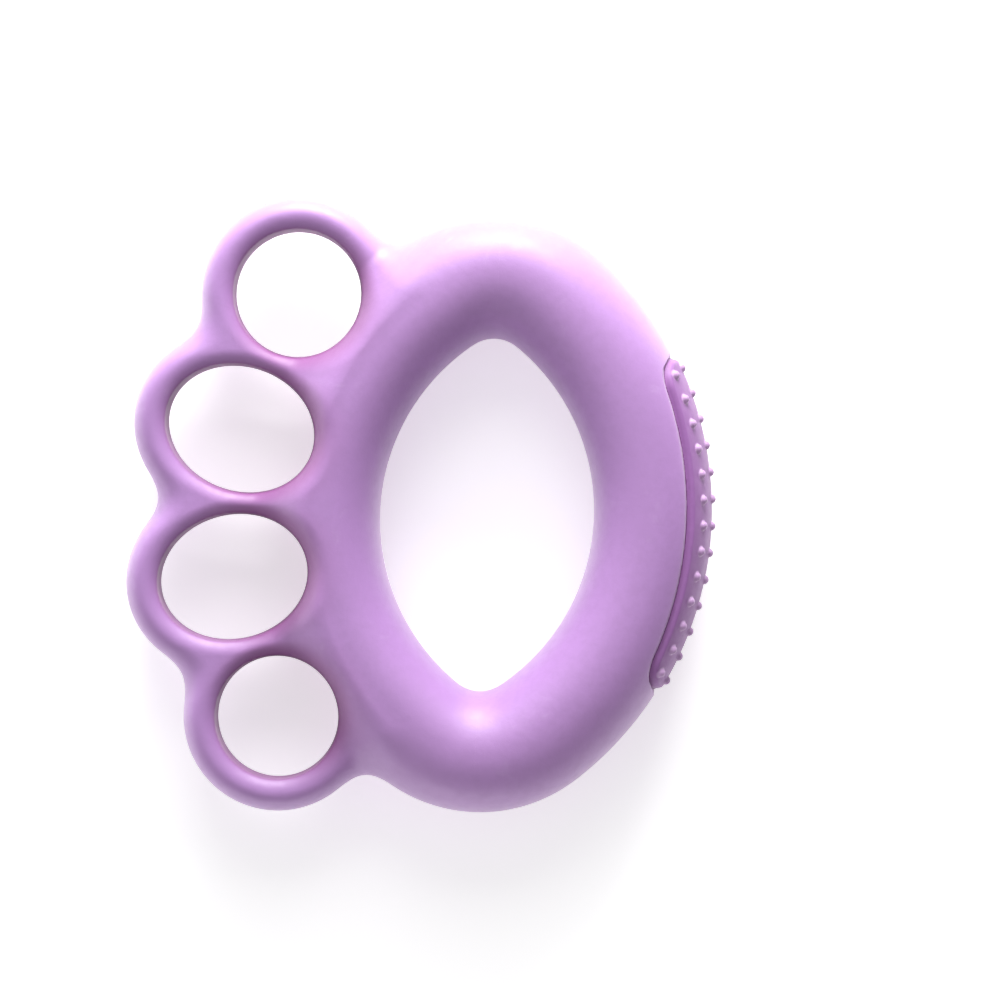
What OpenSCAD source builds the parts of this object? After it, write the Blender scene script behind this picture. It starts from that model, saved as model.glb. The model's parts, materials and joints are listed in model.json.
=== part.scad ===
// Silicone hand grip ring with four finger loops and a nubbed palm pad.
// +X points from the finger loops to the palm pad, +Y towards the index
// finger, +Z out of the face. The ring lies flat, and z = 0 is its mid-plane.

/* [Ring] */
// Width of the ring across the palm, without the loops
ring_width = 79; // [76:0.5:84]
// Length of the ring, end to end
ring_length = 105.8; // [100:0.2:112]
// Radius of the ring's two rounded ends, outside
end_radius = 28; // [26:0.5:30]
// Width of the ring's band, seen on its face
band_width = 20.5; // [18:0.5:21.5]
// Thickness of the ring, face to face
ring_thickness = 25; // [22:0.5:28]
// Fullness of the band's section: 2 is an ellipse, more is squarer
fullness = 2.2; // [2:0.1:2.8]

/* [Finger loops] */
// Thickness of a finger loop, face to face
loop_thickness = 13; // [10:0.5:16]
// Width of a finger loop's band
loop_width = 6.2; // [5:0.1:6.6]
// Diameter of the index finger hole
index_diameter = 22; // [20:0.2:22.4]
// Diameter of the little finger hole
little_diameter = 21.2; // [20:0.2:22.4]
// Width of the middle and ring finger holes
inner_width = 21.7; // [20:0.1:22]
// Length of the middle and ring finger holes, away from the palm
inner_length = 26.2; // [23:0.2:27]
// Distance of the index and little finger holes from the ring's centre
outer_distance = 51.6; // [51:0.1:53]
// Angle of the index and little finger holes from the middle of the bank
outer_angle = 46.7; // [46:0.1:48]
// Distance of the middle and ring finger holes from the ring's centre
inner_distance = 46.3; // [46:0.1:48]
// Angle of the middle and ring finger holes from the middle of the bank
inner_angle = 16.5; // [16:0.1:17]

/* [Palm pad] */
// Half the angle that the pad covers along the palm side
pad_half_angle = 29.4; // [24:0.2:31]
// Half the angle that the pad covers round the band's section
pad_half_wrap = 50; // [40:1:60]
// Thickness of the pad
pad_thickness = 3; // [2:0.5:4]
// Width of the groove round the pad
groove = 0.6; // [0.4:0.1:1]
// Diameter of a massage nub
nub_diameter = 1.6; // [1.2:0.1:2.4]
// Number of nubs along the pad
nub_rows = 13; // [7:1:13]
// Spacing of the nubs along the pad
nub_pitch = 4.5; // [4:0.1:4.6]

/* [Fit] */
// Gap between zones of the moulding that move apart
gap = 0.1; // [0.06:0.02:0.2]

/* [Hidden] */
$fn = 64;

degrees = 57.3;          // degrees in a radian

// Ring outline: side arcs turn about (+-side_offset, 0), end arcs about (0, +-end_offset)
half_width = ring_width / 2;
end_offset = ring_length / 2 - end_radius;
// outside radius of the long sides, tangent to the rounded ends
side_radius = (pow(end_offset, 2) + pow(half_width, 2) - pow(end_radius, 2))
    / (2 * (half_width - end_radius));
side_offset = side_radius - half_width;
turn = atan2(end_offset, side_offset);    // angle where a side becomes an end
side_middle = side_radius - band_width / 2;
end_middle = end_radius - band_width / 2;
band_points = 28;

// Palm band and pad
palm_half_angle = 33;
palm_end_gap = 0.05;     // angle left open at each end of the palm band
pocket_half_angle = pad_half_angle + groove / side_radius * degrees;
pocket_half_wrap = pad_half_wrap + groove / (ring_thickness / 2) * degrees;
pocket_rise = 3;         // how far the pocket's cutter stands out of the band
pad_clearance = 0.04;    // between the pad and the pocket's floor
pad_steps = 16;
nub_angles = [-33, -11, 11, 33];          // round the band's section
nub_sink = 0.05;

// Section of a loop's band
loop_chamfer = 1.2;
crown_share = 0.58;      // share of the loop's width that is rounded
crown_fullness = 2.4;
crown_steps = 10;

// Finger holes above y = 0. Those below are mirrored: outer is index or little
// finger, inner is middle or ring finger.
inner_radius = inner_width / 2;
// a long hole is two round ends this far from its centre
inner_shift = (inner_length - inner_width) / 2;
outer_heading = 180 - outer_angle;
inner_heading = 180 - inner_angle;
outer_centre = outer_distance * unit(outer_heading);
inner_centre = inner_distance * unit(inner_heading);

// Border line between an outer and an inner loop, moved off the midpoint of the
// hole centres by half the difference of the index and middle radii
centre_step = outer_centre - inner_centre;
border_across = atan2(centre_step.y, centre_step.x);    // from inner to outer
border_heading = border_across + 90;
border_point = (outer_centre + inner_centre) / 2
    - unit(border_across) * (index_diameter / 2 - inner_radius) / 2;
zone_reach = 60;         // zones run out past the loops
zone_depth = 70;

// Line that divides the finger bridge from the upper arc
cut_point = [-16, 34];
cut_heading = 103.5;
bridge_end_angle = 85;   // where the bridge's end arc stops
finger_arc_start = 20;   // where the finger arc's side starts, before the cut

// Corners of the web between the holes and the ring
web_top = [-12, 40];
web_root = [-22, 0];

// Heights of the cutters, more than the ring's thickness
block_height = 60;
cutter_height = 40;

// The whole part's box is centred on the origin
x_low = inner_centre.x - inner_shift * cos(inner_angle) - inner_radius - loop_width;
x_high = half_width + nub_diameter / 2;
ring_x = -(x_low + x_high) / 2;

// ---- Helpers ----
function unit(heading) = [cos(heading), sin(heading)];

// Crossing of two lines, each a point and a heading
function meet(point1, heading1, point2, heading2) =
    point1 + unit(heading1) * cross(point2 - point1, unit(heading2))
        / cross(unit(heading1), unit(heading2));

function signed_pow(value, power) = sign(value) * pow(abs(value), power);
function superellipse(half_x, half_y, angle, full) =
    [half_x * signed_pow(cos(angle), 2 / full), half_y * signed_pow(sin(angle), 2 / full)];

// Point of the band's section, grown outwards, from the middle of the band
function band_point(angle, grow = 0) =
    superellipse(band_width / 2 + grow, ring_thickness / 2 + grow, angle, fullness);

module placed() translate([ring_x, 0, 0]) children();

module sweep(centre, start, end)
    translate([centre.x, centre.y, 0])
        rotate([0, 0, start])
            rotate_extrude(angle = end - start) children();

// Box across the ring's thickness, from its low corner in plan
module block(corner, size)
    translate([corner.x, corner.y, -block_height / 2])
        cube([size.x, size.y, block_height]);

// Everything to the left of a line, looking along its heading
module left_of(point, heading)
    translate([point.x, point.y, 0])
        rotate([0, 0, heading]) block([-150, 0], [300, 150]);

module cutter()
    translate([0, 0, -cutter_height / 2]) linear_extrude(cutter_height) children();

// ---- Ring, drawn for its palm and upper quarter ----
module band_section(radius)
    translate([radius, 0])
        polygon([for (i = [0:band_points - 1]) band_point(i * 360 / band_points)]);

module side_arc(start, end)
    sweep([-side_offset, 0], start, end) band_section(side_middle);

module end_arc(start, end)
    sweep([0, end_offset], start, end) band_section(end_middle);

module palm_quarter() difference() {
    union() {
        side_arc(palm_half_angle, turn);
        end_arc(turn, 90);
    }
    block([-60, -10], [60 + gap / 2, 100]);
}

module finger_quarter() difference() {
    mirror([1, 0, 0]) union() {
        side_arc(finger_arc_start, turn);
        end_arc(turn, 90);
    }
    block([-gap / 2, -10], [60, 100]);
    left_of(cut_point + gap / 2 * unit(cut_heading - 90), cut_heading);
}

// ---- Palm side ----
// Strip of the band's section, from depth below its surface to rise above it
module pad_section(half_wrap, depth, rise)
    translate([side_middle, 0])
        polygon(concat(
            [for (i = [0:pad_steps])
                band_point(-half_wrap + 2 * half_wrap * i / pad_steps, rise)],
            [for (i = [0:pad_steps])
                band_point(half_wrap - 2 * half_wrap * i / pad_steps, -depth)]));

module palm_band() color([0.70, 0.55, 0.76]) placed() difference() {
    side_arc(-palm_half_angle + palm_end_gap, palm_half_angle - palm_end_gap);
    sweep([-side_offset, 0], -pocket_half_angle, pocket_half_angle)
        pad_section(pocket_half_wrap, pad_thickness, pocket_rise);
}

module nub(angle) {
    place = band_point(angle);
    translate([side_middle + place.x - nub_sink, 0, place.y])
        sphere(d = nub_diameter, $fn = 20);
}

module palm_pad() color([0.64, 0.46, 0.67]) placed() union() {
    sweep([-side_offset, 0], -pad_half_angle, pad_half_angle)
        pad_section(pad_half_wrap, pad_thickness - pad_clearance, 0);
    translate([-side_offset, 0, 0])
        for (row = [0:nub_rows - 1], angle = nub_angles)
            rotate([0, 0, (row - (nub_rows - 1) / 2) * nub_pitch / side_radius * degrees])
                nub(angle);
}

// ---- Flexing arcs ----
module upper_palm_arc() color([0.75, 0.60, 0.81]) placed() palm_quarter();
module lower_palm_arc() color([0.75, 0.60, 0.81]) placed() mirror([0, 1, 0]) palm_quarter();
module upper_finger_arc() color([0.79, 0.64, 0.85]) placed() finger_quarter();
module lower_finger_arc() color([0.79, 0.64, 0.85]) placed() mirror([0, 1, 0]) finger_quarter();

// ---- Finger loops ----
// Section of a loop's band: flat where the finger bears, rounded outside
module loop_section(radius) {
    half = loop_thickness / 2;
    crown = loop_width * crown_share;
    polygon(concat(
        [[radius, -half + loop_chamfer], [radius + loop_chamfer, -half]],
        [for (i = [0:crown_steps])
            [radius + loop_width - crown, 0]
                + superellipse(crown, half, -90 + 180 * i / crown_steps, crown_fullness)],
        [[radius + loop_chamfer, half], [radius, half - loop_chamfer]]));
}

// Half loop round a hole, bulging along its heading, with legs reaching back to its centre
module arch(centre, heading, radius, leg = 0)
    translate([centre.x, centre.y, 0]) rotate([0, 0, heading]) {
        sweep([leg, 0], -90, 90) loop_section(radius);
        if (leg > 0)
            for (side = [0, 1])
                mirror([0, side, 0])
                    rotate([90, 0, 90]) linear_extrude(leg) loop_section(radius);
    }

// Ground plans of the loops' own zones, inset from their borders
function outer_zone(inset) =
    let (base = outer_centre + unit(outer_heading) * inset,
         border = border_point + unit(border_across) * inset,
         corner = meet(border, border_heading, base, outer_heading + 90),
         base_end = base + unit(outer_heading - 90) * zone_reach)
    [corner, corner + unit(border_heading) * zone_reach,
     base_end + unit(outer_heading) * zone_depth, base_end];

function inner_zone(inset) =
    let (base = inner_centre + unit(inner_heading) * inset,
         border = border_point - unit(border_across) * inset,
         corner = meet(border, border_heading, base, inner_heading + 90),
         middle = meet([0, inset], 180, base, inner_heading + 90))
    [corner, middle, middle + [-zone_reach, 0], corner + unit(border_heading) * zone_reach];

module outer_loop(radius) intersection() {
    arch(outer_centre, outer_heading, radius);
    cutter() polygon(outer_zone(gap / 2));
}

module inner_loop() intersection() {
    arch(inner_centre, inner_heading, inner_radius, inner_shift);
    cutter() polygon(inner_zone(gap / 2));
}

module index_loop() color([0.84, 0.72, 0.90]) placed() outer_loop(index_diameter / 2);
module middle_loop() color([0.86, 0.75, 0.92]) placed() inner_loop();
module ring_finger_loop() color([0.86, 0.75, 0.92]) placed() mirror([0, 1, 0]) inner_loop();
module little_loop() color([0.84, 0.72, 0.90]) placed()
    mirror([0, 1, 0]) outer_loop(little_diameter / 2);

// ---- Finger bridge: the ring's finger side, with the inner halves of the holes ----
module long_plan(radius)
    translate(inner_centre) rotate(inner_heading) union() {
        translate([inner_shift, 0]) circle(radius);
        translate([-inner_shift, 0]) circle(radius);
        translate([-inner_shift, -radius]) square([2 * inner_shift, 2 * radius]);
    }

module web(hole_radius)
    translate([0, 0, -loop_thickness / 2]) linear_extrude(loop_thickness) union() {
        translate(outer_centre) circle(hole_radius + loop_width);
        long_plan(inner_radius + loop_width);
        polygon([[inner_centre.x, 0], inner_centre, outer_centre, web_top, web_root]);
    }

module bridge_half(hole_radius) difference() {
    intersection() {
        union() {
            mirror([1, 0, 0]) union() {
                side_arc(0, turn);
                end_arc(turn, bridge_end_angle);
            }
            web(hole_radius);
        }
        left_of(cut_point, cut_heading);
        block([-150, 0], [200, 100]);
    }
    translate([outer_centre.x, outer_centre.y, -cutter_height / 2])
        cylinder(r = hole_radius, h = cutter_height);
    cutter() long_plan(inner_radius);
    cutter() polygon(outer_zone(-gap / 2));
    cutter() polygon(inner_zone(-gap / 2));
}

module finger_bridge() color([0.72, 0.57, 0.79]) placed() union() {
    bridge_half(index_diameter / 2);
    mirror([0, 1, 0]) bridge_half(little_diameter / 2);
}

palm_band();
palm_pad();
upper_palm_arc();
lower_palm_arc();
upper_finger_arc();
lower_finger_arc();
finger_bridge();
index_loop();
middle_loop();
ring_finger_loop();
little_loop();
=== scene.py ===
import json
import math

import bmesh
import bpy
import numpy as np
from mathutils import Matrix, Vector


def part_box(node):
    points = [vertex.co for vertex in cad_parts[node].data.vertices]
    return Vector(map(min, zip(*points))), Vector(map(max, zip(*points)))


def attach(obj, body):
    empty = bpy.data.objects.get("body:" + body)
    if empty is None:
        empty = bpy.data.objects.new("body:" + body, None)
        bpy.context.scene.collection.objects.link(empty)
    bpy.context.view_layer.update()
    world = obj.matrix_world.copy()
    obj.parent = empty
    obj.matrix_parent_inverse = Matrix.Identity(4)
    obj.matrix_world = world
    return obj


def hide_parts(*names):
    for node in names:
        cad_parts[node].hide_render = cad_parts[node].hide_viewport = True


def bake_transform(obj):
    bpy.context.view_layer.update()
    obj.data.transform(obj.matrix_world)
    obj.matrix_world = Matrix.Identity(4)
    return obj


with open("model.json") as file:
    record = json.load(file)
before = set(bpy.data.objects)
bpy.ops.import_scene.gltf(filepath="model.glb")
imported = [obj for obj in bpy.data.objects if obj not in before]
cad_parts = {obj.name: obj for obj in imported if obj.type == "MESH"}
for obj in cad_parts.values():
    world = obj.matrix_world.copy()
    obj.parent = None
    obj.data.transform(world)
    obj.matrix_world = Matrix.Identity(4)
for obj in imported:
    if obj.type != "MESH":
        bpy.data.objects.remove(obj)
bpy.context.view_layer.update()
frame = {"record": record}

# ------------------------------------------------------------------ sizes, mm, in the ring's own frame
# The ring's frame has its origin at the ring's centre: RX is where that is along the row's X.
RX = (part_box("upper_palm_arc")[0].x * 1000) - 0.05
openings = {o["name"]: o["box_m"] for o in frame["record"]["physics"]["openings"]}


def hole_centre(name):
    lo, hi = openings[name]
    return np.array([(lo[0] + hi[0]) * 500 - RX, (lo[1] + hi[1]) * 500])


T = (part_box("upper_palm_arc")[1].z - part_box("upper_palm_arc")[0].z) * 1000   # ring thickness
LT = (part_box("index_loop")[1].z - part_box("index_loop")[0].z) * 1000          # loop thickness
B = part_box("upper_palm_arc")[1].y * 1000                                     # half length of the ring
A = 39.5                                                                     # half width of the ring
END_R = 28.0
SIDE_R = ((B - END_R) ** 2 + A * A - END_R * END_R) / (2 * (A - END_R))
SIDE_X = SIDE_R - A
END_Y = B - END_R
TURN = math.atan2(END_Y, SIDE_X)
LENS_R, LENS_C, LENS_K = 37.5, 18.5, 4.2
BW = 6.2                                                                     # width of a loop's band
E_RING = 2.2
HOLES = {
    "index": (hole_centre("index_finger_hole"), 11.0, 11.0),
    "middle": (hole_centre("middle_finger_hole"), 13.1, 10.85),
    "ring": (hole_centre("ring_finger_hole"), 13.1, 10.85),
    "little": (hole_centre("little_finger_hole"), 10.6, 10.6),
}
DIRS = {n: math.atan2(c[1], c[0]) for n, (c, _, _) in HOLES.items()}


def smax(a, b, k):
    h = np.maximum(k - np.abs(a - b), 0) / k
    return np.maximum(a, b) + h * h * k / 4


def smin(a, b, k):
    return -smax(-a, -b, k)


def smoothstep(t):
    t = np.clip(t, 0, 1)
    return t * t * (3 - 2 * t)


def d_lens(x, y):
    return smax(np.hypot(x + LENS_C, y) - LENS_R, np.hypot(x - LENS_C, y) - LENS_R, LENS_K)


def d_oval(x, y):
    ax, ay = np.abs(x), np.abs(y)
    side = SIDE_R - np.hypot(ax + SIDE_X, ay)
    end = END_R - np.hypot(ax, ay - END_Y)
    return np.where(np.arctan2(ay, ax + SIDE_X) < TURN, side, end)


def d_hole(x, y, name):
    c, ra, rb = HOLES[name]
    q = DIRS[name]
    u = (x - c[0]) * math.cos(q) + (y - c[1]) * math.sin(q)
    v = -(x - c[0]) * math.sin(q) + (y - c[1]) * math.cos(q)
    if ra == rb:
        return np.hypot(u, v) - ra
    g = np.sqrt((u / ra) ** 2 + (v / rb) ** 2) + 1e-9
    return (g - 1) * g / np.sqrt(u * u / ra**4 + v * v / rb**4 + 1e-12)


K_NOTCH, K_JOIN = 7.0, 7.0
HOLE_CUT, HOLE_EDGE = 1.0, 0.55


def plan(x, y):
    """Half thickness of the body before its edges are rounded, and the sum of the rounded edges' terms."""
    din, dout = d_lens(x, y), d_oval(x, y)
    half = np.maximum((din + dout) / 2, 4.0)
    s = np.clip((din - dout) / (2 * half), -1.5, 1.5)
    dh = {n: d_hole(x, y, n) for n in HOLES}
    im = smax(BW - dh["index"], BW - dh["middle"], K_NOTCH)
    rl = smax(BW - dh["ring"], BW - dh["little"], K_NOTCH)
    loops = smax(im, rl, K_NOTCH)
    dsil = smax(dout, loops, K_JOIN)
    # the body thins smoothly from the ring's crest to the loops
    thin = LT / 2 + (T - LT) / 2 * smoothstep((dout + 2.0) / 10.5)
    m = smoothstep((-11.0 - x) / 11.0)
    hb = (1 - m) * T / 2 + m * thin
    ro = (1 - m) * half + m * (BW / 2 + 0.3)
    t = np.maximum(0, -s) ** E_RING + np.maximum(0, 1 - dsil / ro) ** E_RING
    # each hole: a soft slope down to it, then a tight edge and a straight wall
    slope = 3.0 + 0.25 * np.maximum(hb - LT / 2, 0)
    for n in HOLES:
        t = t + np.maximum(0, 1 - (dh[n] + HOLE_CUT) / (slope + HOLE_CUT)) ** E_RING + np.maximum(0, 1 - dh[n] / HOLE_EDGE) ** E_RING
    return hb, t


def body_field(p):
    hb, t = plan(p[:, 0], p[:, 1])
    return (np.abs(p[:, 2]) / hb) ** E_RING + t - 1


def gradient(field, p, e=0.01):
    g = np.empty_like(p)
    for i in range(3):
        d = np.zeros(3)
        d[i] = e
        g[:, i] = (field(p + d) - field(p - d)) / (2 * e)
    return g


def project(field, p, steps=4, limit=0.4):
    for _ in range(steps):
        f, g = field(p), gradient(field, p)
        q = (g * g).sum(1) + 1e-12
        d = -(f / q)[:, None] * g
        n = np.linalg.norm(d, axis=1)[:, None]
        p = p + d * np.minimum(1, limit / np.maximum(n, 1e-12))
    return p


def surface_nets(vol, lo, h):
    """Naive surface nets: one vertex in each cell that the surface crosses, one quad for each crossed edge."""
    inside = vol < 0
    shape = tuple(n - 1 for n in vol.shape)
    total = np.zeros(shape + (3,), np.float32)
    count = np.zeros(shape, np.int16)
    edges = []
    for ax in range(3):
        a = np.take(vol, range(vol.shape[ax] - 1), ax)
        b = np.take(vol, range(1, vol.shape[ax]), ax)
        cross = (a < 0) != (b < 0)
        idx = np.argwhere(cross)
        va, vb = a[cross], b[cross]
        pos = idx.astype(np.float32)
        pos[:, ax] += va / (va - vb)
        o1, o2 = [i for i in range(3) if i != ax]
        for d1 in (0, 1):
            for d2 in (0, 1):
                c = idx.copy()
                c[:, o1] -= d1
                c[:, o2] -= d2
                ok = ((c >= 0) & (c < np.array(shape))).all(1)
                cc = c[ok]
                np.add.at(total, (cc[:, 0], cc[:, 1], cc[:, 2]), pos[ok])
                np.add.at(count, (cc[:, 0], cc[:, 1], cc[:, 2]), 1)
        edges.append((idx, va < 0, o1, o2))
    active = count > 0
    number = np.full(shape, -1, np.int64)
    number[active] = np.arange(active.sum())
    verts = total[active] / count[active][:, None]
    verts = np.array(lo) + verts * h
    faces = []
    for ax, (idx, neg, o1, o2) in enumerate(edges):
        quad = []
        for d1, d2 in ((1, 1), (0, 1), (0, 0), (1, 0)):
            c = idx.copy()
            c[:, o1] -= d1
            c[:, o2] -= d2
            quad.append(c)
        ok = np.all([((c >= 0) & (c < np.array(shape))).all(1) for c in quad], 0)
        q = np.stack([number[c[ok][:, 0], c[ok][:, 1], c[ok][:, 2]] for c in quad], 1)
        flip = neg[ok] if ax != 1 else ~neg[ok]
        q[~flip] = q[~flip][:, ::-1]
        faces.append(q)
    return verts.astype(float), np.concatenate(faces)


def relax(field, p, faces, steps=4, amount=0.5):
    """Evens the quads out along the surface, and keeps every vertex on it."""
    e = np.concatenate([faces[:, [0, 1]], faces[:, [1, 2]], faces[:, [2, 3]], faces[:, [3, 0]]])
    n = np.zeros(len(p))
    np.add.at(n, e[:, 0], 1)
    np.add.at(n, e[:, 1], 1)
    for _ in range(steps):
        t = np.zeros_like(p)
        np.add.at(t, e[:, 0], p[e[:, 1]])
        np.add.at(t, e[:, 1], p[e[:, 0]])
        p = p + amount * (t / n[:, None] - p)
        p = project(field, p, 1)
    return project(field, p, 2)


def mesh_of(name, verts, faces):
    me = bpy.data.meshes.new(name)
    me.vertices.add(len(verts))
    me.vertices.foreach_set("co", verts.astype(np.float32).ravel())
    me.loops.add(faces.size)
    me.loops.foreach_set("vertex_index", faces.astype(np.int32).ravel())
    me.polygons.add(len(faces))
    me.polygons.foreach_set("loop_start", np.arange(0, faces.size, 4, dtype=np.int32))
    me.update(calc_edges=True)
    me.validate()
    return me


# ------------------------------------------------------------------ palm pad: groove, pocket and nubs
PAD_R_MM = SIDE_R
PAD_HALF = (31.1, 9.95)
PAD_CORNER = 5.5
PAD_BULGE = 1.0
PAD_RAISE = 0.5
W_MM = 11.4                                                                  # arc length per radian round the section
PAD_T = 3.0


def section(p):
    """g is 1 on the plain surface, f0 the distance outside it, s the place across the band (1 = outer edge)."""
    hb, t = plan(p[:, 0], p[:, 1])
    g = np.maximum((np.abs(p[:, 2]) / hb) ** E_RING + t, 1e-7)
    din, dout = d_lens(p[:, 0], p[:, 1]), d_oval(p[:, 0], p[:, 1])
    half = np.maximum((din + dout) / 2, 4.0)
    s = (din - dout) / (2 * half)
    rho = np.hypot(p[:, 2], s * half)
    return rho * (1 - g ** (-1 / E_RING)), s


def pad_coords(p, s):
    u = SIDE_R * np.arctan2(p[:, 1], p[:, 0] + SIDE_X)
    phi = np.arctan2((np.abs(p[:, 2]) / (T / 2)) ** (E_RING / 2), np.maximum(s, 1e-3) ** (E_RING / 2))
    return u, W_MM * phi * np.sign(p[:, 2])


def d_pad(u, w):
    """Distance outside the pad's outline, which is a little wider at the middle of the palm."""
    a = np.abs(u) - (PAD_HALF[0] - PAD_CORNER)
    b = np.abs(w) - (PAD_HALF[1] - PAD_CORNER) - PAD_BULGE * np.maximum(0, 1 - (u / 27.0) ** 2)
    return np.hypot(np.maximum(a, 0), np.maximum(b, 0)) + np.minimum(np.maximum(a, b), 0) - PAD_CORNER


def nub_centres():
    c = []
    for k in range(-6, 7):
        for ph in (-37, -12.3, 12.3, 37):
            th = k * (4.77 if abs(ph) < 20 else 4.64) / SIDE_R
            a = math.radians(ph)
            z = T / 2 * math.copysign(abs(math.sin(a)) ** (2 / E_RING), a)
            # the point of the plain surface at this place, found along the section's own radius
            lo_r, hi_r = SIDE_R - 12.0, SIDE_R + 2.0
            for _ in range(40):
                r = (lo_r + hi_r) / 2
                q = np.array([[r * math.cos(th) - SIDE_X, r * math.sin(th), z]])
                if section(q)[0][0] < PAD_RAISE:
                    lo_r = r
                else:
                    hi_r = r
            c.append([r * math.cos(th) - SIDE_X, r * math.sin(th), z])
    return np.array(c)


NUBS = nub_centres()
NUB_R = 0.8


def palm_surface(p):
    """(field with groove, raised pad and nubs; pad outline distance; depth under the plain surface)."""
    f0, s = section(p)
    f = f0.copy()
    drr = np.full(len(p), 50.0)
    near = (p[:, 0] > 22) & (s > 0)
    u, w = pad_coords(p[near], s[near])
    drr[near] = d_pad(u, w)
    f += 0.5 * np.exp(-((drr / 0.6) ** 2)) - PAD_RAISE * smoothstep((-drr - 0.1) / 1.3)
    k = np.flatnonzero((drr < 0) & (np.abs(f0) < 2.5))
    if len(k):
        best = np.full(len(k), 9.0)
        for c in NUBS:
            best = np.minimum(best, np.sqrt(((p[k] - c) ** 2).sum(1)))
        f[k] = smin(f[k], best - NUB_R, 0.3)
    return f, drr, -f0


def band_field(p):
    f, drr, q = palm_surface(p)
    return smax(f, np.minimum(0.01 - drr, PAD_T + 0.02 - q), 0.03)


def pad_field(p):
    f, drr, q = palm_surface(p)
    return smax(f, np.maximum(drr + 0.01, q - PAD_T), 0.03)


# ------------------------------------------------------------------ surfaces
def grid_surface(field, lo, hi, h, relax_steps=4):
    axes = [np.arange(a, b + h, h) for a, b in zip(lo, hi)]
    vol = np.empty([len(a) for a in axes], np.float32)
    y, z = np.meshgrid(axes[1], axes[2], indexing="ij")
    yz = np.stack([y.ravel(), z.ravel()], 1)
    step = max(1, 400000 // len(yz))
    for i in range(0, len(axes[0]), step):
        xs = axes[0][i:i + step]
        p = np.empty((len(xs) * len(yz), 3))
        p[:, 0] = np.repeat(xs, len(yz))
        p[:, 1:] = np.tile(yz, (len(xs), 1))
        vol[i:i + step] = field(p).reshape(len(xs), len(axes[1]), len(axes[2]))
    v, f = surface_nets(vol, [a[0] for a in axes], h)
    v = project(field, v, 4, h)
    return relax(field, v, f, relax_steps), f


def body_volume(h):
    gx = np.arange(-66.0, 42.0 + h, h)
    gy = np.arange(-57.0, 57.0 + h, h) + 0.013
    gz = np.arange(-T / 2 - 1.5 * h, T / 2 + 1.6 * h, h) + 0.017
    hb, t2 = plan(*np.meshgrid(gx, gy, indexing="ij"))
    vol = ((np.abs(gz)[None, None, :] / hb[:, :, None]) ** E_RING + t2[:, :, None] - 1).astype(np.float32)
    v, f = surface_nets(vol, (gx[0], gy[0], gz[0]), h)
    v = project(body_field, v, 4)
    return relax(body_field, v, f), f


def to_row(p):
    return (np.asarray(p) + np.array([RX, 0, 0])) / 1000


def painted_hole_shade(p):
    """Painted shade round the finger holes, for the shadow in and beside them: 1 on a finger hole's wall, falling off
    over some 10 mm on the ring's side and 4 mm on the strap's side.
    """
    out = np.zeros(len(p))
    for n, (c, _, _) in HOLES.items():
        d = d_hole(p[:, 0], p[:, 1], n)
        r = p[:, :2] - c
        toward = -(r @ (c / np.linalg.norm(c))) / (np.linalg.norm(r, axis=1) + 1e-9)
        side = 0.35 + 0.65 * smoothstep(0.5 + 0.6 * toward)
        wide = smoothstep(1 - d / (4.5 + 9.0 * (side - 0.35)))
        out = np.maximum(out, 0.36 * side * wide + 0.34 * side * smoothstep(1 - d / 4.0) + (0.3 + 0.3 * (1 - side)) * smoothstep(1 - d / 1.0))
    return out


def painted_nub_highlight(p):
    """Mask for the painted highlight on the nubs: 1 on the tops of the nubs, 0 off them."""
    best = np.full(len(p), 9.0)
    for c in NUBS:
        best = np.minimum(best, ((p - c) ** 2).sum(1))
    return smoothstep((1.5 - np.sqrt(best)) / 0.8)


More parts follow.
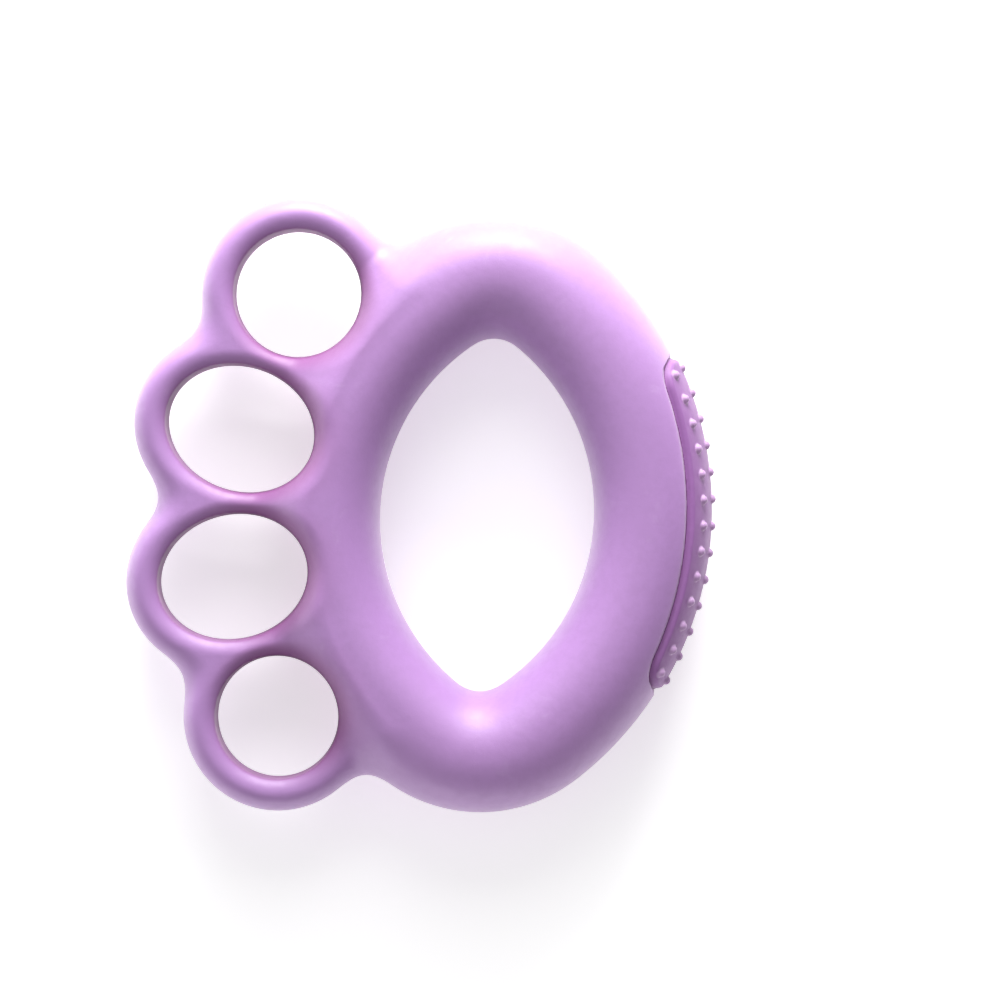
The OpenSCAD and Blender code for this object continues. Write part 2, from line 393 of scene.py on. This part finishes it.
def piece(name, source, planes, field, material, nodes):
    """Cuts source with planes (point, outward normal; ring frame, mm), caps each cut, and gives it the surface's own normals."""
    v, f = source
    keep = np.ones(len(f), bool)
    for c, n in planes[:1]:
        d = (v - np.append(c, 0)) @ np.append(n / np.linalg.norm(n), 0)
        keep = (d[f] < 2.5).any(1)
    used, inv = np.unique(f[keep], return_inverse=True)
    me = mesh_of(name, v[used], inv.reshape(-1, 4))
    bm = bmesh.new()
    bm.from_mesh(me)
    cap = bm.faces.layers.int.new("cap")
    for k, (c, n) in enumerate(planes):
        nn = Vector((n[0], n[1], 0)).normalized()
        res = bmesh.ops.bisect_plane(bm, geom=bm.verts[:] + bm.edges[:] + bm.faces[:], dist=1e-5,
                                     plane_co=(c[0], c[1], 0), plane_no=nn, clear_outer=True)
        edges = [e for e in res["geom_cut"] if isinstance(e, bmesh.types.BMEdge) and e.is_valid and len(e.link_faces) == 1]
        made = bmesh.ops.holes_fill(bm, edges=edges, sides=0)["faces"] if edges else []
        for face in made:
            face[cap] = k + 1
            face.normal_update()
            if face.normal.dot(nn) < 0:
                face.normal_flip()
    ngons = [face for face in bm.faces if len(face.verts) > 4]
    bmesh.ops.triangulate(bm, faces=ngons, quad_method="BEAUTY", ngon_method="EAR_CLIP")
    for _ in range(4):                           # two sheets that share an edge are drawn together to a point
        shared = [e for e in bm.edges if len(e.link_faces) > 2]
        if not shared:
            break
        bmesh.ops.collapse(bm, edges=shared, uvs=False)
    bm.to_mesh(me)
    bm.free()
    nv = len(me.vertices)
    co = np.empty(nv * 3, np.float32)
    me.vertices.foreach_get("co", co)
    p = co.reshape(-1, 3).astype(float)
    g = gradient(field, p, 0.012)
    g /= np.linalg.norm(g, axis=1)[:, None] + 1e-12
    nl = len(me.loops)
    vi = np.empty(nl, np.int32)
    me.loops.foreach_get("vertex_index", vi)
    normals = g[vi]
    caps = np.empty(len(me.polygons), np.int32)
    me.attributes["cap"].data.foreach_get("value", caps)
    start = np.empty(len(me.polygons), np.int32)
    total = np.empty(len(me.polygons), np.int32)
    me.polygons.foreach_get("loop_start", start)
    me.polygons.foreach_get("loop_total", total)
    of_loop = np.repeat(caps, total)
    for k, (c, n) in enumerate(planes):
        nn = np.array([n[0], n[1], 0.0])
        normals[of_loop == k + 1] = nn / np.linalg.norm(nn)
    me.attributes.remove(me.attributes["cap"])
    rest = me.attributes.new("rest_mm", "FLOAT_VECTOR", "POINT")
    rest.data.foreach_set("vector", p.astype(np.float32).ravel())
    shade = me.attributes.new("painted_hole_shade", "FLOAT", "POINT")
    shade.data.foreach_set("value", painted_hole_shade(p).astype(np.float32))
    if material is MAT_PAD:
        tops = me.attributes.new("painted_nub_highlight", "FLOAT", "POINT")
        tops.data.foreach_set("value", painted_nub_highlight(p).astype(np.float32))
    me.vertices.foreach_set("co", to_row(p).astype(np.float32).ravel())
    me.update()
    me.shade_smooth()
    me.normals_split_custom_set(normals.astype(np.float32))
    me.materials.append(material)
    ob = bpy.data.objects.new(name, me)
    bpy.context.scene.collection.objects.link(ob)
    if nodes:
        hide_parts(*nodes)
    return ob


# ------------------------------------------------------------------ materials
def node(nt, kind, **values):
    n = nt.nodes.new(kind)
    for k, v in values.items():
        if hasattr(n, k):
            setattr(n, k, v)
        else:
            n.inputs[k.replace("_", " ")].default_value = v
    return n


def silicone(name, base, painted_shade_colour, dust_and_highlight_colour, spec, sheen):
    """Matte moulded silicone: soft mottling, painted shade (darker and redder) in the creases and round the finger
    holes, a painted highlight on the nub tops, fine surface grain, handling marks.
    """
    mat = bpy.data.materials.new(name)
    mat.use_nodes = True
    nt = mat.node_tree
    ln = nt.links.new
    bs = nt.nodes["Principled BSDF"]
    rest = node(nt, "ShaderNodeAttribute", attribute_name="rest_mm").outputs["Vector"]

    def noise(scale, detail, rough=0.5, distort=0.0):
        n = node(nt, "ShaderNodeTexNoise")
        n.inputs["Scale"].default_value = scale
        n.inputs["Detail"].default_value = detail
        n.inputs["Roughness"].default_value = rough
        n.inputs["Distortion"].default_value = distort
        ln(rest, n.inputs["Vector"])
        return n.outputs["Fac"]

    def ramp(source, lo, hi, a, b):
        n = node(nt, "ShaderNodeMapRange", interpolation_type="SMOOTHSTEP")
        n.inputs["From Min"].default_value, n.inputs["From Max"].default_value = lo, hi
        n.inputs["To Min"].default_value, n.inputs["To Max"].default_value = a, b
        ln(source, n.inputs["Value"])
        return n.outputs["Result"]

    def mix(fac, a, b, blend="MIX"):
        n = node(nt, "ShaderNodeMix", data_type="RGBA", blend_type=blend)
        for sock, v in ((n.inputs["Factor"], fac), (n.inputs[6], a), (n.inputs[7], b)):
            if hasattr(v, "links"):
                ln(v, sock)
            else:
                sock.default_value = v
        return n.outputs[2]

    def tone(c, k):
        return (min(c[0] * k, 1), min(c[1] * k, 1), min(c[2] * k, 1), 1)

    big = noise(0.05, 3)
    mid = noise(0.55, 5, 0.6)
    fine = noise(6.0, 3, 0.6)
    colour = mix(ramp(big, 0.35, 0.65, 0, 1), tone(base, 0.97), tone(base, 1.03))
    colour = mix(ramp(mid, 0.38, 0.66, 0, 0.5), colour, tone(base, 0.93))
    # marks of handling: a little lint and rubbed patches, lighter and rougher
    rub = noise(0.16, 6, 0.7, 0.6)
    rubbed = ramp(rub, 0.60, 0.74, 0, 1)
    colour = mix(ramp(rub, 0.58, 0.78, 0, 0.16), colour, dust_and_highlight_colour + (1,))
    # painted shade: the colour goes darker and redder where the ambient occlusion finds creases
    ao = node(nt, "ShaderNodeAmbientOcclusion", samples=8)
    ao.inputs["Distance"].default_value = 0.008
    painted_crease_shade = ramp(ao.outputs["AO"], 0.25, 0.95, 0.8, 0.0)
    colour = mix(painted_crease_shade, colour, painted_shade_colour + (1,))
    edge = node(nt, "ShaderNodeAttribute", attribute_name="painted_hole_shade").outputs["Fac"]
    # painted shade round the finger holes: darker and redder out to some 10 mm on the ring's side, and a near-black
    # painted line on the holes' walls
    colour = mix(ramp(edge, 0.0, 0.8, 0.0, 0.8), colour, painted_shade_colour + (1,))
    colour = mix(ramp(edge, 0.7, 1.0, 0.0, 0.85), colour, tone(painted_shade_colour, 0.4))
    # painted highlight: the nub tops are mixed towards the light colour that also serves for lint and rubbed patches
    tops = node(nt, "ShaderNodeAttribute", attribute_name="painted_nub_highlight").outputs["Fac"]
    colour = mix(ramp(tops, 0.2, 1.0, 0.0, 0.55), colour, dust_and_highlight_colour + (1,))
    ln(colour, bs.inputs["Base Color"])
    rough = node(nt, "ShaderNodeMath", operation="ADD")
    ln(ramp(mid, 0.3, 0.7, ROUGH - 0.04, ROUGH + 0.05), rough.inputs[0])
    k = node(nt, "ShaderNodeMath", operation="MULTIPLY")
    ln(rubbed, k.inputs[0])
    k.inputs[1].default_value = 0.1
    ln(k.outputs[0], rough.inputs[1])
    ln(rough.outputs[0], bs.inputs["Roughness"])
    bs.inputs["IOR"].default_value = 1.43
    # on the finger holes' walls the specular and sheen are turned down so that the walls read darker, painted shade for
    # the dark outline at the holes' edges
    ln(ramp(edge, 0.4, 0.9, spec, 0.1), bs.inputs["Specular IOR Level"])
    ln(ramp(edge, 0.4, 0.9, sheen, 0.0), bs.inputs["Sheen Weight"])
    bs.inputs["Sheen Roughness"].default_value = 0.45
    bs.inputs["Sheen Tint"].default_value = (1.0, 0.93, 1.0, 1)
    b1 = node(nt, "ShaderNodeBump")
    b1.inputs["Strength"].default_value = 0.35
    b1.inputs["Distance"].default_value = 0.00004
    ln(fine, b1.inputs["Height"])
    b2 = node(nt, "ShaderNodeBump")
    b2.inputs["Strength"].default_value = 0.5
    b2.inputs["Distance"].default_value = 0.00010
    ln(mid, b2.inputs["Height"])
    ln(b1.outputs["Normal"], b2.inputs["Normal"])
    ln(b2.outputs["Normal"], bs.inputs["Normal"])
    return mat


ROUGH = 0.46
MAT_RING = silicone("silicone_ring", (0.43, 0.23, 0.53), (0.25, 0.07, 0.22), (0.66, 0.50, 0.72), 0.75, 0.5)
MAT_LOOP = silicone("silicone_loops", (0.43, 0.23, 0.53), (0.25, 0.07, 0.22), (0.66, 0.50, 0.72), 0.75, 0.5)
# the pad's base colour is darker than the ring's, with lower specular and sheen: painted shade for the palm's shadow on
# the pad
MAT_PAD = silicone("silicone_pad", (0.31, 0.135, 0.37), (0.20, 0.055, 0.19), (0.66, 0.45, 0.70), 0.4, 0.1)


coarse = body_volume(0.5)
FINE = 0.25
box_lo, box_hi = (11.0, -41.0, -T / 2 - 0.8), (A + 2.4, 41.0, T / 2 + 0.8)
band = grid_surface(band_field, box_lo, box_hi, FINE)
pad = grid_surface(pad_field, (22.0, -33.0, -12.0), (A + 2.4, 33.0, 12.0), FINE * 0.8)

# Unit directions and cut planes, in plan. A quarter of the ring is cut out between its own side and the pointed end of
# the opening.
q25, q5 = math.radians(25), math.radians(5)


def quarter(name, side, s, node, source=coarse):
    """side +1 palm, -1 finger; s +1 the index end, -1 the little finger end."""
    if side > 0:
        n, w0, w1, a, b = np.array([-math.cos(q25), s * math.sin(q25)]), -15.4, 13.1, "palm", ("upper" if s > 0 else "lower") + "_palm_flex"
        apex = ((0.001, 0), (-1, 0))
    else:
        n, w0, w1, a, b = np.array([math.cos(q5), s * math.sin(q5)]), -17.9, 2.7, "finger_bank", ("upper" if s > 0 else "lower") + "_finger_flex"
        apex = ((-0.001, 0), (1, 0))
    planes = [apex, (n * w0, -n), ((0, 0), (0, -s))]
    ob = piece(name, source, planes, body_field, MAT_RING, [node])
    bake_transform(ob)
    return ob


quarter("upper_palm_arc_skin", 1, 1, "upper_palm_arc")
quarter("lower_palm_arc_skin", 1, -1, "lower_palm_arc")
quarter("upper_finger_arc_skin", -1, 1, "upper_finger_arc")
quarter("lower_finger_arc_skin", -1, -1, "lower_finger_arc")

palm_planes = [(np.array([-math.cos(q25), s * math.sin(q25)]) * -15.4, np.array([-math.cos(q25), s * math.sin(q25)])) for s in (1, -1)]
ob = piece("palm_band_skin", band, palm_planes, band_field, MAT_RING, ["palm_band"])
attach(ob, "palm")
ob = piece("palm_pad_skin", pad, [], pad_field, MAT_PAD, ["palm_pad"])
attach(ob, "palm")

# The loops: each is beyond the line through its hole's centre, between its mid-planes to its neighbours.
MID = {
    ("index", "middle"): (np.array([-39.9, 25.35]), np.array([math.cos(math.radians(68.6)), math.sin(math.radians(68.6))])),
    ("middle", "ring"): (np.array([0.0, 0.0]), np.array([0.0, 1.0])),
    ("ring", "little"): (np.array([-39.9, -25.35]), np.array([math.cos(math.radians(-68.6)), math.sin(math.radians(-68.6))]) * -1),
}
NAMES = {"index": ("index_loop", "index_strap"), "middle": ("middle_loop", "middle_strap"),
         "ring": ("ring_finger_loop", "ring_finger_strap"), "little": ("little_loop", "little_strap")}
order = ["index", "middle", "ring", "little"]
for i, h in enumerate(order):
    c = HOLES[h][0]
    d = np.array([math.cos(DIRS[h]), math.sin(DIRS[h])])
    lu = 11.0 if h in ("index", "little") else 13.0
    lv = 5.5
    sides = []                                   # (point, unit normal into this loop, label)
    if i > 0:
        m, n = MID[(order[i - 1], h)]
        sides.append((m, -n, "upper_web" if h in ("middle", "ring") else "web"))
    if i < 3:
        m, n = MID[(h, order[i + 1])]
        sides.append((m, n, "lower_web" if h in ("middle", "ring") else "web"))
    base = [(c, -d)] + [(m, -n) for m, n, _ in sides]

    def split_plane(m, n):
        """The plane where the share of the way out from the hole's centre line equals the share of the way in from the mid-plane; its normal points to where the first is larger."""
        k = d / lu - n / lv
        rhs = c @ d / lu - m @ n / lv
        return k * rhs / (k @ k), k

    node, strap = NAMES[h]
    outs = [split_plane(m, n) for m, n, _ in sides]
    ob = piece(node + "_skin", coarse, base + [(pt, k) for pt, k in outs], body_field, MAT_LOOP, [node])
    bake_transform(ob)
    for (m, n, label), (pt, k) in zip(sides, outs):
        extra = []
        for m2, n2, l2 in sides:
            if l2 != label:                      # nearer this mid-plane than the other
                kk = n / lv - n2 / lv
                rhs = (m @ n - m2 @ n2) / lv
                extra.append((kk * rhs / (kk @ kk), kk))
        ob = piece(node + "_" + label + "_skin", coarse, base + [(pt, -k)] + extra, body_field, MAT_LOOP, [])
        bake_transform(ob)

# The finger bridge: the finger side of the ring, up to the hole centres.
bank = []
for s in (1, -1):
    n = np.array([math.cos(q5), s * math.sin(q5)])
    bank.append((n * -17.9, n))
# its outer boundary is not convex, so it is made in one wedge per loop
for i, h in enumerate(order):
    c = HOLES[h][0]
    d = np.array([math.cos(DIRS[h]), math.sin(DIRS[h])])
    planes = list(bank) + [(c, d)]
    if i > 0:
        m, n = MID[(order[i - 1], h)]
        planes.append((m, n))
    if i < 3:
        m, n = MID[(h, order[i + 1])]
        planes.append((m, -n))
    ob = piece("finger_bridge_" + h + "_skin", coarse, planes, body_field, MAT_RING, ["finger_bridge"])
    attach(ob, "finger_bank")

# ------------------------------------------------------------------ floor, light, camera
Z0 = -T / 2000
floor_me = bpy.data.meshes.new("floor")
floor_me.from_pydata([(-6, -6, Z0 - 0.0002), (6, -6, Z0 - 0.0002), (6, 6, Z0 - 0.0002), (-6, 6, Z0 - 0.0002)], [], [(0, 1, 2, 3)])
floor = bpy.data.objects.new("floor", floor_me)
bpy.context.scene.collection.objects.link(floor)
fm = bpy.data.materials.new("floor")
fm.use_nodes = True
fm.node_tree.nodes["Principled BSDF"].inputs["Base Color"].default_value = (0.86, 0.86, 0.86, 1)
fm.node_tree.nodes["Principled BSDF"].inputs["Roughness"].default_value = 0.9
fm.node_tree.nodes["Principled BSDF"].inputs["Specular IOR Level"].default_value = 0.1
fm.node_tree.nodes["Principled BSDF"].inputs["Emission Color"].default_value = (1, 1, 1, 1)
fm.node_tree.nodes["Principled BSDF"].inputs["Emission Strength"].default_value = 0.5
floor.data.materials.append(fm)

# A light tent: bright towards the horizon, dimmer overhead, and dimmer on the palm pad's side.
WORLD = 0.8
world = bpy.data.worlds.new("studio")
bpy.context.scene.world = world
world.use_nodes = True
wt = world.node_tree
tc = wt.nodes.new("ShaderNodeTexCoord")
sep = wt.nodes.new("ShaderNodeSeparateXYZ")
wt.links.new(tc.outputs["Generated"], sep.inputs[0])


def sky(axis, lo, hi, a, b):
    mr = wt.nodes.new("ShaderNodeMapRange")
    mr.interpolation_type = "SMOOTHSTEP"
    mr.inputs["From Min"].default_value, mr.inputs["From Max"].default_value = lo, hi
    mr.inputs["To Min"].default_value, mr.inputs["To Max"].default_value = a, b
    wt.links.new(sep.outputs[axis], mr.inputs["Value"])
    return mr.outputs[0]


def times(a, b):
    mu = wt.nodes.new("ShaderNodeMath")
    mu.operation = "MULTIPLY"
    wt.links.new(a, mu.inputs[0])
    if hasattr(b, "links"):
        wt.links.new(b, mu.inputs[1])
    else:
        mu.inputs[1].default_value = b
    return mu.outputs[0]


wt.links.new(times(times(sky("Z", 0.0, 0.6, 1.1, 0.62), sky("X", -0.1, 0.7, 1.0, 0.4)), WORLD), wt.nodes["Background"].inputs[1])
wt.nodes["Background"].inputs[0].default_value = (1, 1, 1, 1)

# name, azimuth from +X, angle from straight above, distance, width, height, power
LIGHTS = [
    ("key_top", 88, 74, 0.46, 0.30, 0.24, 4.1),
    ("fill_top", 94, 46, 0.60, 0.34, 0.30, 1.3),
    ("rim_left", 182, 92.5, 0.18, 0.20, 0.012, 0.045),
    ("rim_bottom", 264, 91.5, 0.20, 0.20, 0.016, 0.05),
]
for name, az, off_axis, dist, w, h, power in LIGHTS:
    light = bpy.data.lights.new(name, "AREA")
    light.shape = "RECTANGLE"
    light.size, light.size_y = w, h
    light.energy = power
    lo = bpy.data.objects.new(name, light)
    bpy.context.scene.collection.objects.link(lo)
    a, e = math.radians(az), math.radians(off_axis)
    lo.location = Vector((math.cos(a) * math.sin(e), math.sin(a) * math.sin(e), math.cos(e))) * dist
    lo.rotation_euler = (-lo.location).to_track_quat("-Z", "Y").to_euler()
    lo.visible_camera = False

cam_data = bpy.data.cameras.new("camera")
cam = bpy.data.objects.new("camera", cam_data)
bpy.context.scene.collection.objects.link(cam)
bpy.context.scene.camera = cam
cam_data.sensor_width = 36
cam_data.lens = 180
tilt = math.radians(2.8)
mm_px = 0.178
off = Matrix.Rotation(tilt, 2) @ Vector((13 * mm_px, 15 * mm_px))
cam.location = ((RX + off.x) / 1000, off.y / 1000, mm_px * 1000 / (36 / 180) / 1000)
cam.rotation_euler = (0, 0, tilt)
cam_data.clip_start, cam_data.clip_end = 0.05, 20
bpy.context.scene.view_settings.view_transform = "Standard"
